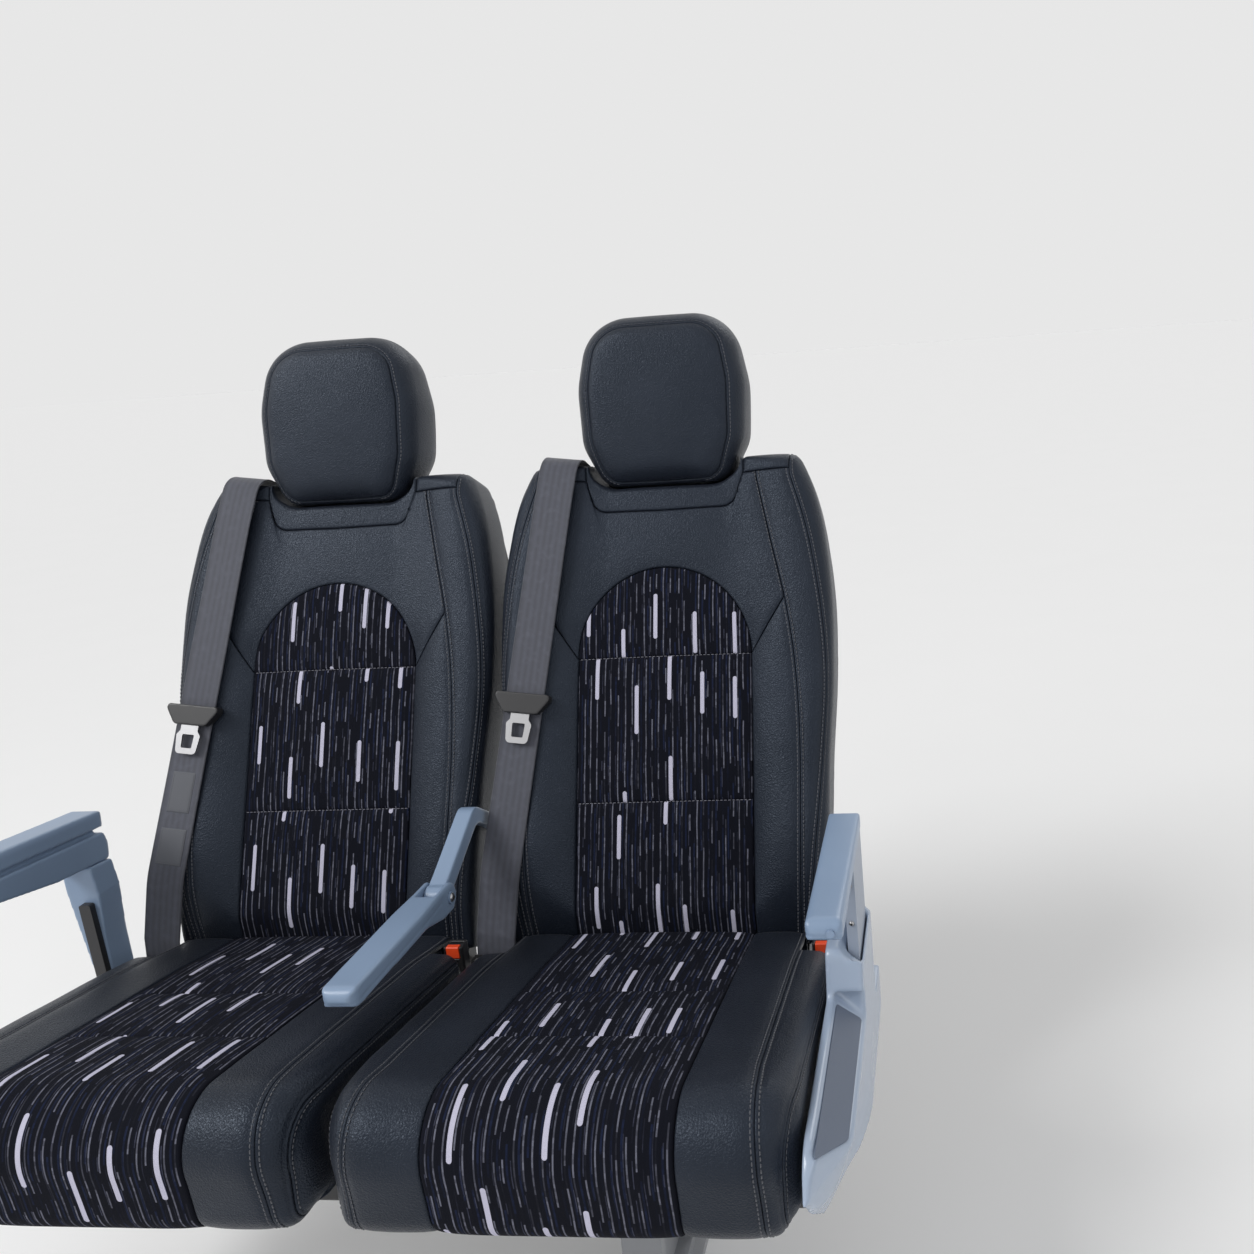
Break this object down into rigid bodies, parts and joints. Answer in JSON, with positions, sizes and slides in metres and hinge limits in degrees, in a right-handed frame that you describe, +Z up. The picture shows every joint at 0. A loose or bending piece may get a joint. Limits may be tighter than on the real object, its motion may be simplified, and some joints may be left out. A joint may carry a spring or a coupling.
{
  "type": "coach double passenger seat",
  "caption": "Coach double seat with reclining upholstered backs, lifting headrests, three-point belts, folding centre armrest and sliding aisle armrest on a pedestal frame.",
  "frame": {"origin": "centre of the floor foot's bolt line, on the underside of the foot, under the aisle seat", "axes": "+X to the aisle, +Y to the rear of the seat, +Z up"},
  "size_m": [1.067, 0.841, 1.1987],
  "materials": {
    "armrest_grey": "light blue grey moulding",
    "black_plastic": "black moulding",
    "bright_steel": "plated steel",
    "cover_grey": "light silver grey moulding",
    "fabric_cover": "dark cloth with fine pale stripes",
    "frame_steel": "satin black coat",
    "insert_grey": "dark grey textured inlay",
    "leather": "grained black hide, double stitched",
    "leg_paint": "grey powder coat",
    "red_button": "orange red",
    "shell": "fine textured black moulding",
    "webbing": "ribbed dark webbing"
  },
  "bodies": {
    "seat_frame": {"cushion_window": "leather", "pan_window": "frame_steel", "buckle_window": "black_plastic", "buckle_button_window": "red_button", "buckle_stalk_window": "frame_steel", "cushion_aisle": "leather", "pan_aisle": "frame_steel", "buckle_aisle": "black_plastic", "buckle_button_aisle": "red_button", "buckle_stalk_aisle": "frame_steel", "front_tube": "frame_steel", "rear_tube": "frame_steel", "side_arms": "frame_steel", "pivot_pins": "bright_steel", "floor_foot": "leg_paint", "pedestal_leg": "leg_paint", "wall_bracket": "leg_paint", "side_cover": "cover_grey", "cover_insert": "insert_grey", "window_pad": "armrest_grey", "window_body": "armrest_grey", "window_bracket": "armrest_grey", "window_strip": "insert_grey"},
    "back_window": {"back_pad_window": "leather", "back_shell_window": "shell", "back_hoop_window": "frame_steel", "webbing_window": "webbing", "belt_guide_window": "black_plastic", "tongue_body_window": "black_plastic", "tongue_window": "bright_steel", "belt_anchor_window": "frame_steel", "armrest_stub": "armrest_grey"},
    "back_aisle": {"back_pad_aisle": "leather", "back_shell_aisle": "shell", "back_hoop_aisle": "frame_steel", "webbing_aisle": "webbing", "belt_guide_aisle": "black_plastic", "tongue_body_aisle": "black_plastic", "tongue_aisle": "bright_steel", "belt_anchor_aisle": "frame_steel"},
    "headrest_body_window": {"headrest_window": "leather", "headrest_posts_window": "bright_steel"},
    "headrest_body_aisle": {"headrest_aisle": "leather", "headrest_posts_aisle": "bright_steel"},
    "armrest_centre": {"centre_armrest": "armrest_grey", "centre_pin": "bright_steel"},
    "armrest_aisle": {"aisle_upright": "cover_grey", "aisle_pad": "armrest_grey", "aisle_button": "insert_grey"}
  },
  "joints": [
    {"name": "recline_window", "type": "hinge", "parent": "seat_frame", "child": "back_window", "pos_m": [0, 0.227, 0.316], "axis": [-1, 0, 0], "range_deg": [0, 15]},
    {"name": "recline_aisle", "type": "hinge", "parent": "seat_frame", "child": "back_aisle", "pos_m": [0, 0.227, 0.316], "axis": [-1, 0, 0], "range_deg": [0, 15]},
    {"name": "headrest_lift_window", "type": "slide", "parent": "back_window", "child": "headrest_body_window", "axis": [0, 0.4067, 0.9135], "range_m": [0, 0.05]},
    {"name": "headrest_lift_aisle", "type": "slide", "parent": "back_aisle", "child": "headrest_body_aisle", "axis": [0, 0.4067, 0.9135], "range_m": [0, 0.05]},
    {"name": "centre_armrest_flip", "type": "hinge", "parent": "back_window", "child": "armrest_centre", "pos_m": [-0.2565, 0.083, 0.504], "axis": [-1, 0, 0], "range_deg": [0, 105]},
    {"name": "aisle_armrest_slide", "type": "slide", "parent": "seat_frame", "child": "armrest_aisle", "axis": [0, 0, 1], "range_m": [-0.085, 0.03]}
  ]
}
